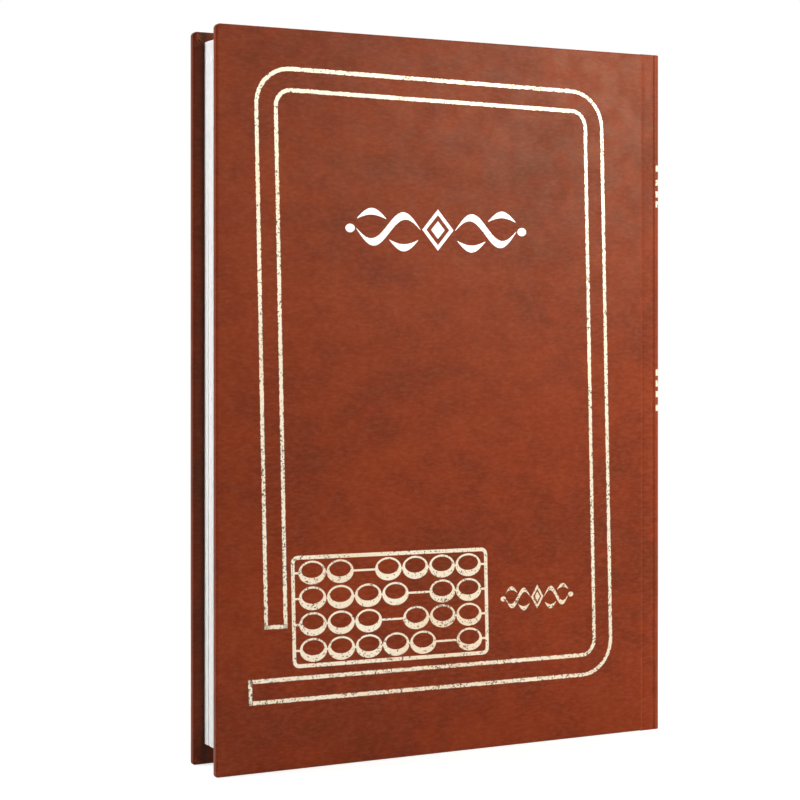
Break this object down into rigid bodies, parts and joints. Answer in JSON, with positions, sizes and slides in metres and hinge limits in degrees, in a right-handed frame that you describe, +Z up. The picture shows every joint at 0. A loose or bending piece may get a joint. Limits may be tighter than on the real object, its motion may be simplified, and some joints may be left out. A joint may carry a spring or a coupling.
{
  "type": "account book",
  "caption": "Upright case-bound account book in red-brown leathercloth with opening covers, turning sewn sections, flyleaves, headbands and a hinged spine case.",
  "frame": {"origin": "middle of the book's footprint, on the surface that its tail edges stand on", "axes": "+Z up the height from tail to head, +X towards the spine, -Y towards the front cover"},
  "size_m": [0.2144, 0.029, 0.303],
  "materials": {
    "leathercloth": "fine pebbled grain, mottled red-brown, semi-gloss",
    "greyboard": "raw pressed board",
    "page_paper": "smooth white writing paper with ruled lines",
    "endpaper": "plain cream endpaper",
    "spine_lining": "brown kraft lining",
    "mull_cloth": "open-weave binding cloth",
    "band_cloth": "striped woven headband",
    "sewing_thread": "waxed linen thread",
    "gold_foil": "pale gold stamping foil, speckled by the grain",
    "silver_foil": "white-silver stamping foil"
  },
  "bodies": {
    "spine_and_folds": {"back_endpaper_gutter": "endpaper", "front_endpaper_gutter": "endpaper", "head_band": "band_cloth", "mull_strip": "mull_cloth", "section_01_fold": "page_paper", "section_02_fold": "page_paper", "section_03_fold": "page_paper", "section_04_fold": "page_paper", "section_05": "page_paper", "section_06": "page_paper", "section_07": "page_paper", "section_08": "page_paper", "section_09_fold": "page_paper", "section_10_fold": "page_paper", "section_11_fold": "page_paper", "section_12_fold": "page_paper", "sewing_stitch_1": "sewing_thread", "sewing_stitch_2": "sewing_thread", "sewing_stitch_3": "sewing_thread", "sewing_stitch_4": "sewing_thread", "sewing_stitch_5": "sewing_thread", "sewing_stitch_6": "sewing_thread", "spine_board": "greyboard", "spine_leather": "leathercloth", "spine_lining": "spine_lining", "tail_band": "band_cloth"},
    "front_cover": {"front_board": "greyboard", "front_cover_leather": "leathercloth", "front_pastedown": "endpaper"},
    "back_cover": {"back_board": "greyboard", "back_cover_leather": "leathercloth", "back_pastedown": "endpaper"},
    "front_flyleaf": {"front_flyleaf": "endpaper"},
    "first_leaf": {"first_leaf": "page_paper"},
    "last_leaf": {"last_leaf": "page_paper"},
    "back_flyleaf": {"back_flyleaf": "endpaper"},
    "section_01_leaves": {"section_01_leaves": "page_paper"},
    "section_02_leaves": {"section_02_leaves": "page_paper"},
    "section_03_leaves": {"section_03_leaves": "page_paper"},
    "section_04_leaves": {"section_04_leaves": "page_paper"},
    "section_09_leaves": {"section_09_leaves": "page_paper"},
    "section_10_leaves": {"section_10_leaves": "page_paper"},
    "section_11_leaves": {"section_11_leaves": "page_paper"},
    "section_12_leaves": {"section_12_leaves": "page_paper"}
  },
  "joints": [
    {"name": "front_cover_hinge", "type": "hinge", "parent": "spine_and_folds", "child": "front_cover", "pos_m": [0.09805, -0.0148, 0.1515], "axis": [0, 0, 1], "range_deg": [0, 180]},
    {"name": "back_cover_hinge", "type": "hinge", "parent": "spine_and_folds", "child": "back_cover", "pos_m": [0.09805, 0.0148, 0.1515], "axis": [0, 0, -1], "range_deg": [0, 180]},
    {"name": "front_flyleaf_turn", "type": "hinge", "parent": "spine_and_folds", "child": "front_flyleaf", "pos_m": [0.09247, -0.01064, 0.1536], "axis": [0, 0, 1], "range_deg": [0, 126]},
    {"name": "first_leaf_turn", "type": "hinge", "parent": "spine_and_folds", "child": "first_leaf", "pos_m": [0.09247, -0.01039, 0.1536], "axis": [0, 0, 1], "range_deg": [0, 81]},
    {"name": "section_01_turn", "type": "hinge", "parent": "spine_and_folds", "child": "section_01_leaves", "pos_m": [0.09247, -0.00941, 0.1536], "axis": [0, 0, 1], "range_deg": [0, 68.4]},
    {"name": "section_02_turn", "type": "hinge", "parent": "spine_and_folds", "child": "section_02_leaves", "pos_m": [0.09247, -0.00769, 0.1536], "axis": [0, 0, 1], "range_deg": [0, 52.2]},
    {"name": "section_03_turn", "type": "hinge", "parent": "spine_and_folds", "child": "section_03_leaves", "pos_m": [0.09247, -0.00598, 0.1536], "axis": [0, 0, 1], "range_deg": [0, 36]},
    {"name": "section_04_turn", "type": "hinge", "parent": "spine_and_folds", "child": "section_04_leaves", "pos_m": [0.09247, -0.00428, 0.1536], "axis": [0, 0, 1], "range_deg": [0, 18]},
    {"name": "back_flyleaf_turn", "type": "hinge", "parent": "spine_and_folds", "child": "back_flyleaf", "pos_m": [0.09247, 0.01064, 0.1536], "axis": [0, 0, -1], "range_deg": [0, 126]},
    {"name": "last_leaf_turn", "type": "hinge", "parent": "spine_and_folds", "child": "last_leaf", "pos_m": [0.09247, 0.01039, 0.1536], "axis": [0, 0, -1], "range_deg": [0, 81]},
    {"name": "section_12_turn", "type": "hinge", "parent": "spine_and_folds", "child": "section_12_leaves", "pos_m": [0.09247, 0.00941, 0.1536], "axis": [0, 0, -1], "range_deg": [0, 68.4]},
    {"name": "section_11_turn", "type": "hinge", "parent": "spine_and_folds", "child": "section_11_leaves", "pos_m": [0.09247, 0.00769, 0.1536], "axis": [0, 0, -1], "range_deg": [0, 52.2]},
    {"name": "section_10_turn", "type": "hinge", "parent": "spine_and_folds", "child": "section_10_leaves", "pos_m": [0.09247, 0.00598, 0.1536], "axis": [0, 0, -1], "range_deg": [0, 36]},
    {"name": "section_09_turn", "type": "hinge", "parent": "spine_and_folds", "child": "section_09_leaves", "pos_m": [0.09247, 0.00428, 0.1536], "axis": [0, 0, -1], "range_deg": [0, 18]}
  ],
  "couplings": [
    {"joint": "front_flyleaf_turn", "follows": "front_cover_hinge", "ratio": 0.7},
    {"joint": "first_leaf_turn", "follows": "front_cover_hinge", "ratio": 0.45},
    {"joint": "section_01_turn", "follows": "front_cover_hinge", "ratio": 0.38},
    {"joint": "section_02_turn", "follows": "front_cover_hinge", "ratio": 0.29},
    {"joint": "section_03_turn", "follows": "front_cover_hinge", "ratio": 0.2},
    {"joint": "section_04_turn", "follows": "front_cover_hinge", "ratio": 0.1},
    {"joint": "back_flyleaf_turn", "follows": "back_cover_hinge", "ratio": 0.7},
    {"joint": "last_leaf_turn", "follows": "back_cover_hinge", "ratio": 0.45},
    {"joint": "section_12_turn", "follows": "back_cover_hinge", "ratio": 0.38},
    {"joint": "section_11_turn", "follows": "back_cover_hinge", "ratio": 0.29},
    {"joint": "section_10_turn", "follows": "back_cover_hinge", "ratio": 0.2},
    {"joint": "section_09_turn", "follows": "back_cover_hinge", "ratio": 0.1}
  ]
}
